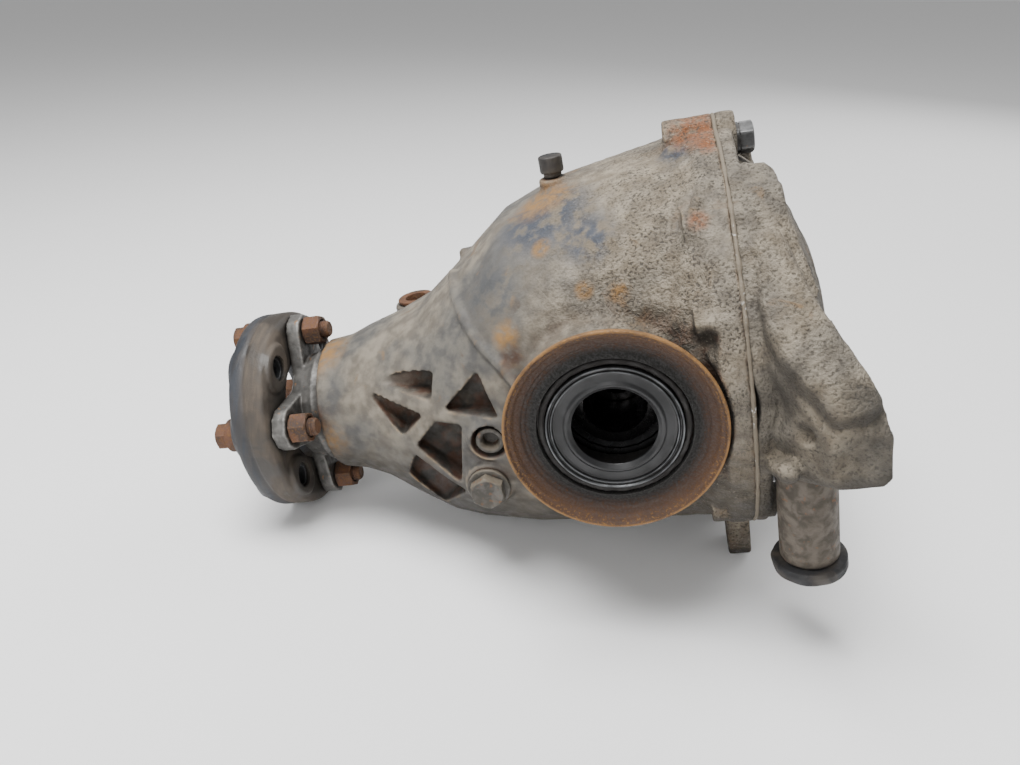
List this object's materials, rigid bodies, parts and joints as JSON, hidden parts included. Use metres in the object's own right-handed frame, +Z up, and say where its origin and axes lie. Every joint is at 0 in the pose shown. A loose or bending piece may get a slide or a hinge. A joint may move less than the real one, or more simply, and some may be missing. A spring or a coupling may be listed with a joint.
{
  "type": "rear differential gear assembly",
  "caption": "Hypoid final drive with a bevel differential in a cast housing, an armed input flange with a flex disc, side outputs and a rear cover with mount arms.",
  "frame": {"origin": "on the floor, under the middle of the outline, with the drive standing on its flex disc and its two lower lugs", "axes": "+X towards the rear cover, +Y from the left output to the right one, +Z up; the drive's own axis is pitched 10.9 degrees nose down"},
  "size_m": [0.3992, 0.296, 0.28],
  "materials": {
    "cast_housing": "dusty cast surface with stains",
    "cast_cover": "sandy cast surface",
    "rusty_steel": "rusted",
    "worn_steel": "worn and dusty",
    "gear_steel": "ground, oiled",
    "bearing_steel": "polished",
    "black_rubber": "matt, dusty",
    "gasket": "squeezed sealant"
  },
  "bodies": {
    "root": {"housing": "cast_housing", "rear_cover": "cast_cover", "cover_gasket": "gasket", "cover_bolt_1": "worn_steel", "cover_bolt_2": "worn_steel", "cover_bolt_3": "worn_steel", "cover_bolt_4": "worn_steel", "cover_bolt_5": "worn_steel", "cover_bolt_6": "worn_steel", "cover_bolt_7": "worn_steel", "cover_bolt_8": "worn_steel", "breather_cap": "black_rubber", "fill_plug": "worn_steel", "drain_plug": "worn_steel", "dust_ring_left": "rusty_steel", "dust_ring_right": "rusty_steel", "side_seal_left": "black_rubber", "side_seal_right": "black_rubber", "carrier_cup_left": "bearing_steel", "carrier_cup_right": "bearing_steel", "pinion_cup_head": "bearing_steel", "pinion_cup_front": "bearing_steel", "pinion_seal": "black_rubber", "rear_bush_sleeve_left": "worn_steel", "rear_bush_sleeve_right": "worn_steel", "rear_bush_rubber_left": "black_rubber", "rear_bush_rubber_right": "black_rubber", "rear_bush_core_left": "rusty_steel", "rear_bush_core_right": "rusty_steel", "front_bush": "rusty_steel"},
    "pinion": {"pinion_shaft": "gear_steel", "pinion_cone_head": "bearing_steel", "pinion_cone_front": "bearing_steel", "crush_sleeve": "worn_steel", "input_flange": "worn_steel", "pinion_nut": "worn_steel", "flex_disc": "black_rubber", "flange_bolt_1": "rusty_steel", "flange_bolt_2": "rusty_steel", "flange_bolt_3": "rusty_steel", "flange_bolt_4": "rusty_steel", "flange_nut_1": "rusty_steel", "flange_nut_2": "rusty_steel", "flange_nut_3": "rusty_steel", "flange_nut_4": "rusty_steel"},
    "carrier": {"ring_gear": "gear_steel", "diff_case": "worn_steel", "carrier_cone_left": "bearing_steel", "carrier_cone_right": "bearing_steel", "cross_shaft": "gear_steel", "lock_pin": "gear_steel", "side_washer_left": "worn_steel", "side_washer_right": "worn_steel", "spider_washer_upper": "worn_steel", "spider_washer_lower": "worn_steel"},
    "side_gear_left": {"side_gear_left": "gear_steel"},
    "side_gear_right": {"side_gear_right": "gear_steel"},
    "spider_gear_upper": {"spider_gear_upper": "gear_steel"},
    "spider_gear_lower": {"spider_gear_lower": "gear_steel"}
  },
  "joints": [
    {"name": "carrier_spin", "type": "hinge", "parent": "root", "child": "carrier", "pos_m": [0.066, 0, 0.1373], "axis": [0, 1, 0], "continuous": true},
    {"name": "pinion_spin", "type": "hinge", "parent": "root", "child": "pinion", "pos_m": [-0.07657, 0, 0.08439], "axis": [0.982, 0, 0.1891], "continuous": true},
    {"name": "side_gear_right_spin", "type": "hinge", "parent": "carrier", "child": "side_gear_right", "pos_m": [0.066, 0, 0.1373], "axis": [0, 1, 0], "continuous": true},
    {"name": "side_gear_left_spin", "type": "hinge", "parent": "carrier", "child": "side_gear_left", "pos_m": [0.066, 0, 0.1373], "axis": [0, 1, 0], "continuous": true},
    {"name": "spider_gear_upper_spin", "type": "hinge", "parent": "carrier", "child": "spider_gear_upper", "pos_m": [0.066, 0, 0.1373], "axis": [-0.1891, 0, 0.982], "continuous": true},
    {"name": "spider_gear_lower_spin", "type": "hinge", "parent": "carrier", "child": "spider_gear_lower", "pos_m": [0.066, 0, 0.1373], "axis": [-0.1891, 0, 0.982], "continuous": true}
  ],
  "couplings": [
    {"joint": "pinion_spin", "follows": "carrier_spin", "ratio": 3.2727},
    {"joint": "side_gear_left_spin", "follows": "side_gear_right_spin", "ratio": -1},
    {"joint": "spider_gear_upper_spin", "follows": "side_gear_right_spin", "ratio": -1.6},
    {"joint": "spider_gear_lower_spin", "follows": "side_gear_right_spin", "ratio": 1.6}
  ]
}
